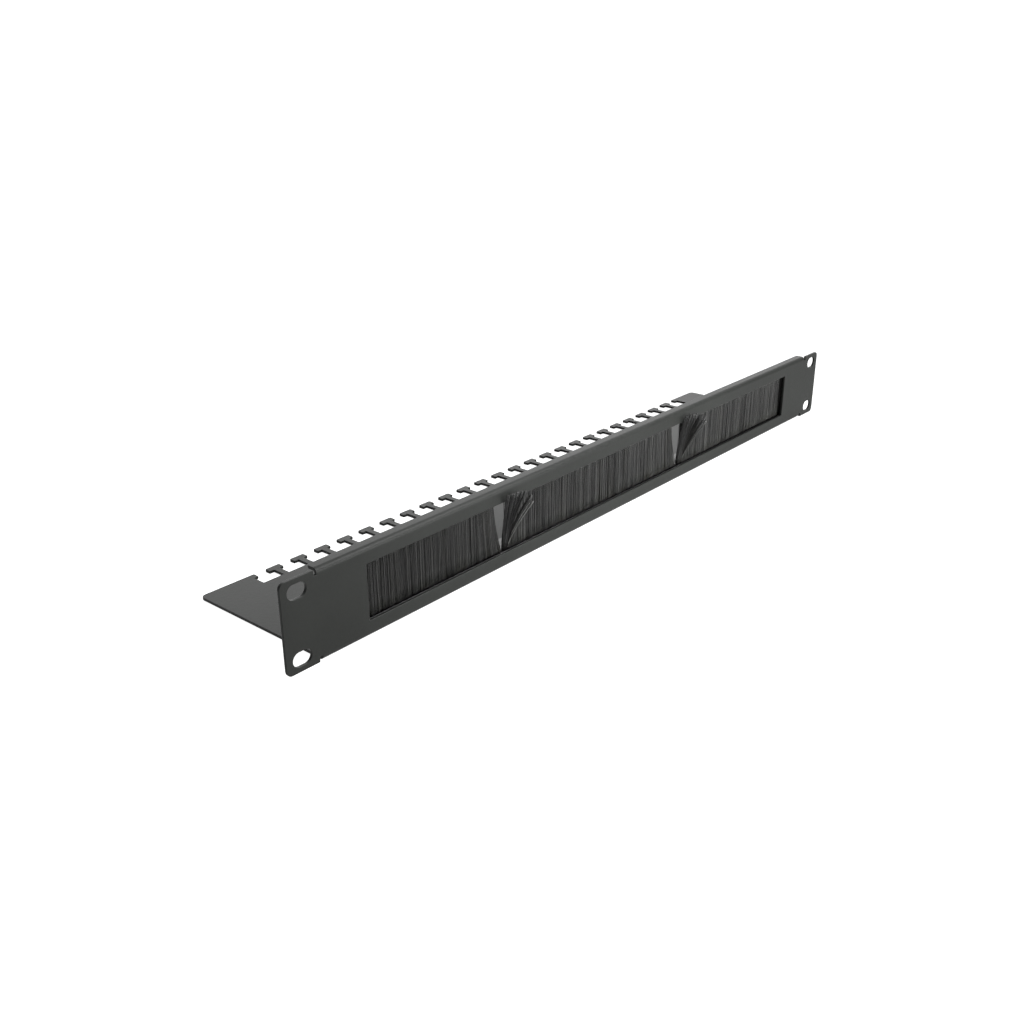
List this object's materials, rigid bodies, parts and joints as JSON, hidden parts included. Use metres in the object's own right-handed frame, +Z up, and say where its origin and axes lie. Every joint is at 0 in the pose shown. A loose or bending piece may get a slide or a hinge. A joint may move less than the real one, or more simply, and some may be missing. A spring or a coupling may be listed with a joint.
{
  "type": "rack brush strip panel",
  "caption": "Folded steel rack panel with a long window closed by a strip brush, slotted ears and a rear tray edged with T-shaped tie teeth.",
  "frame": {"origin": "middle of the mounting plane: level with the rear faces of the ears, midway between the four slots", "axes": "+X to the right along the panel as seen from the front, +Y from the front face to the rear of the tray, +Z up"},
  "size_m": [0.4826, 0.1022, 0.044],
  "materials": {
    "powder_coat": "satin black powder coat, fine grain",
    "rail_black": "black anodised extrusion",
    "channel_steel": "zinc plated strip steel",
    "wire_steel": "drawn steel wire",
    "bristle": "black nylon filament",
    "zinc": "bright zinc plate"
  },
  "bodies": {
    "root": {"panel": "powder_coat", "holder_rail": "rail_black", "brush_channel": "channel_steel", "core_wire": "wire_steel", "bristles_left": "bristle", "bristles_middle": "bristle", "bristles_right": "bristle", "swept_tuft_left": "bristle", "swept_tuft_right": "bristle", "studs": "zinc", "washers": "zinc", "nuts": "zinc"}
  },
  "joints": []
}
